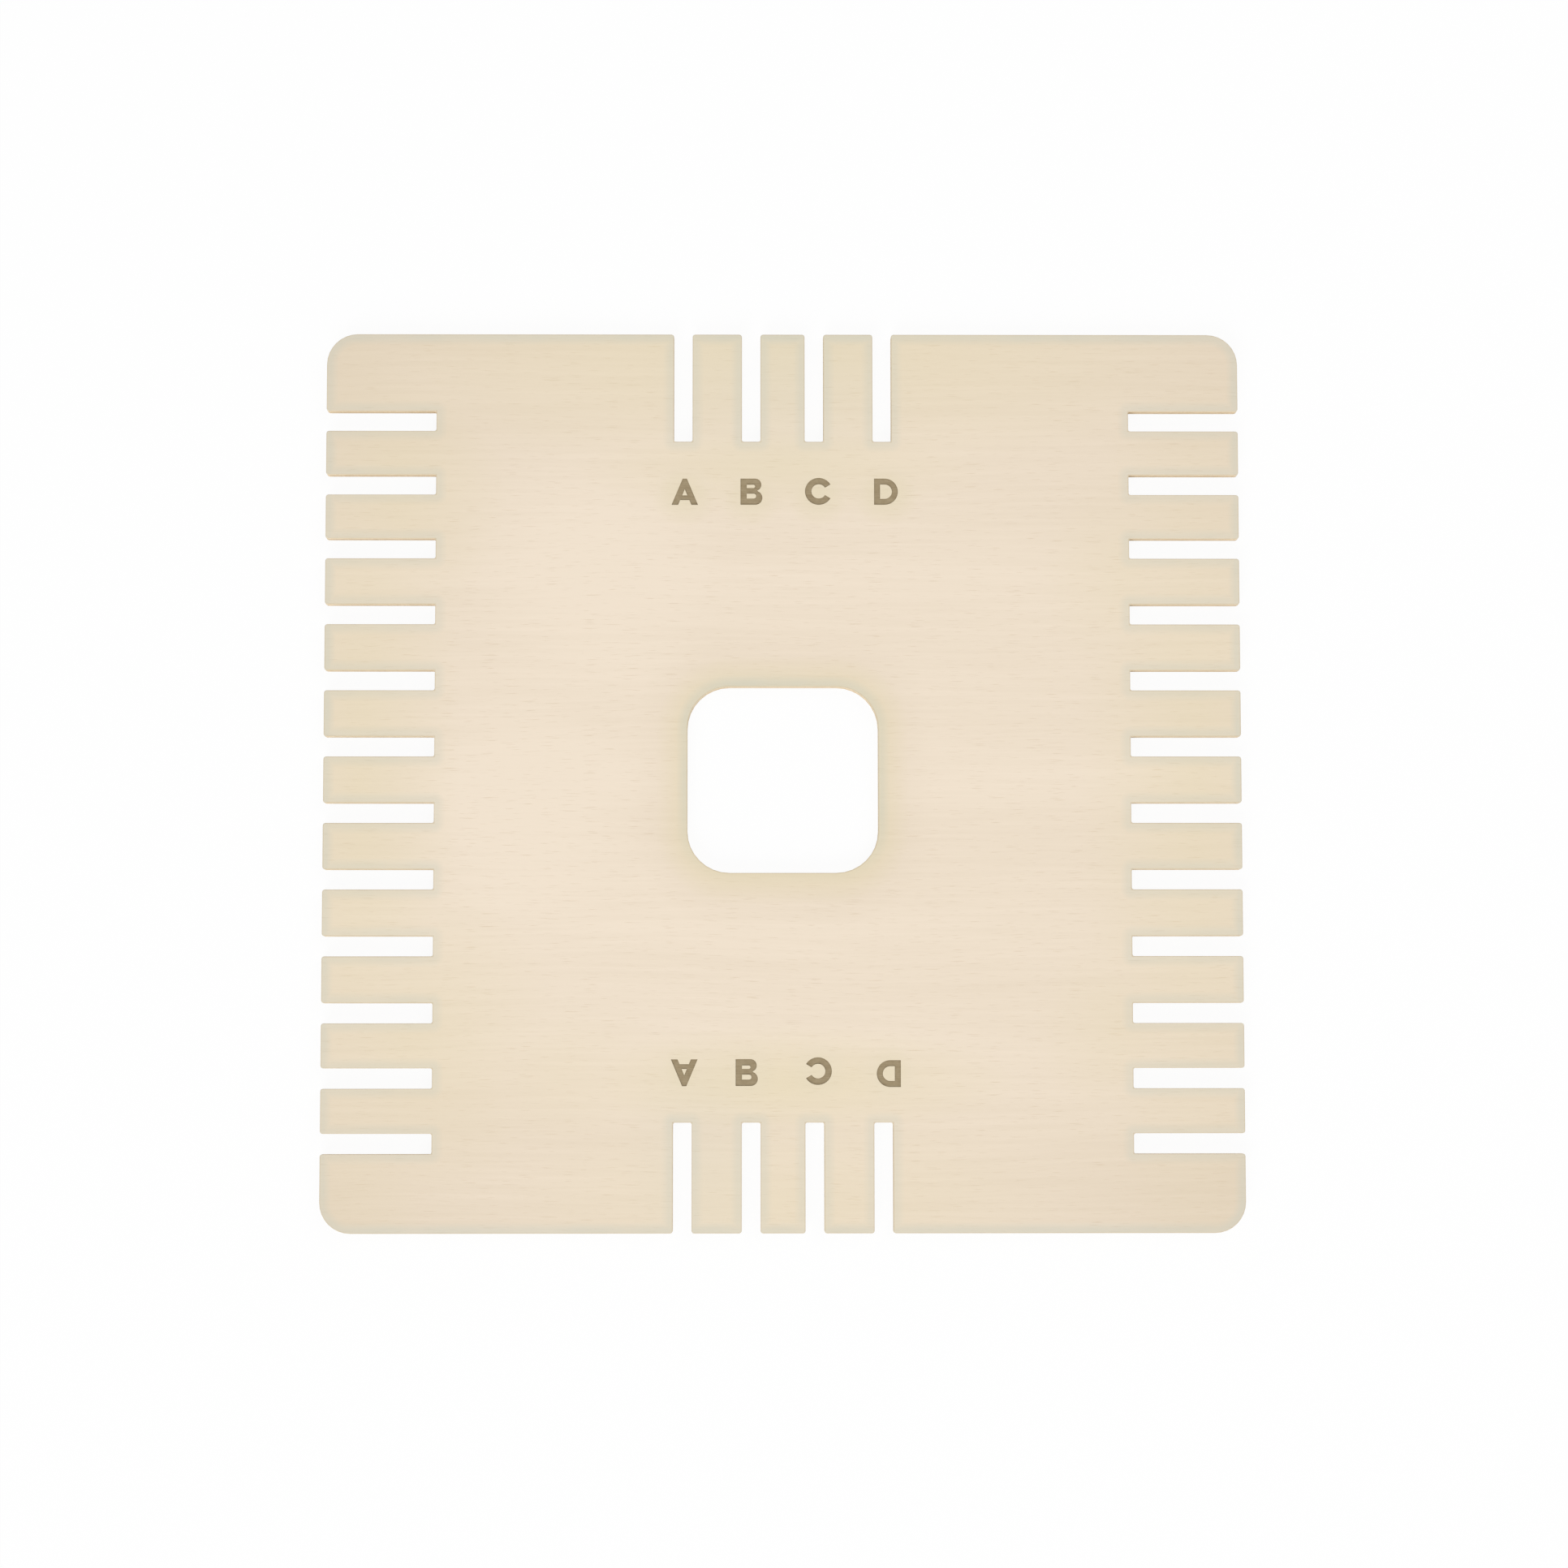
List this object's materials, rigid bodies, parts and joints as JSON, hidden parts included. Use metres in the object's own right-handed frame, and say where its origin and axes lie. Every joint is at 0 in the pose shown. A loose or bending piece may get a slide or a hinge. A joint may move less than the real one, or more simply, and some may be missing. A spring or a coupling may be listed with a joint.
{
  "type": "braiding plate",
  "caption": "Flat square plywood plate for hand braiding, with rows of narrow thread slots in all four edges and a rounded window in the middle for the braid.",
  "frame": {"origin": "middle of the back face, on the surface that the plate lies on", "axes": "+X along the edge with the upright letters, to the reader's right; +Y towards that edge; +Z out of the lettered front face"},
  "size_m": [0.1, 0.0982, 0.0015],
  "materials": {
    "face_wood": "bare sanded limewood veneer, pale cream, matte, with very fine straight grain",
    "core_wood": "bare limewood veneer, a little warmer, seen only on the cut edges, where the laser has browned it",
    "cured_glue": "hard cured resin glue, brown, seen only as two thin lines on the cut edges",
    "scorched_wood": "limewood browned by the laser, in the engraved index letters"
  },
  "bodies": {
    "root": {"front_veneer": "face_wood", "front_glue_line": "cured_glue", "core_veneer": "core_wood", "back_glue_line": "cured_glue", "back_veneer": "face_wood"}
  },
  "joints": []
}
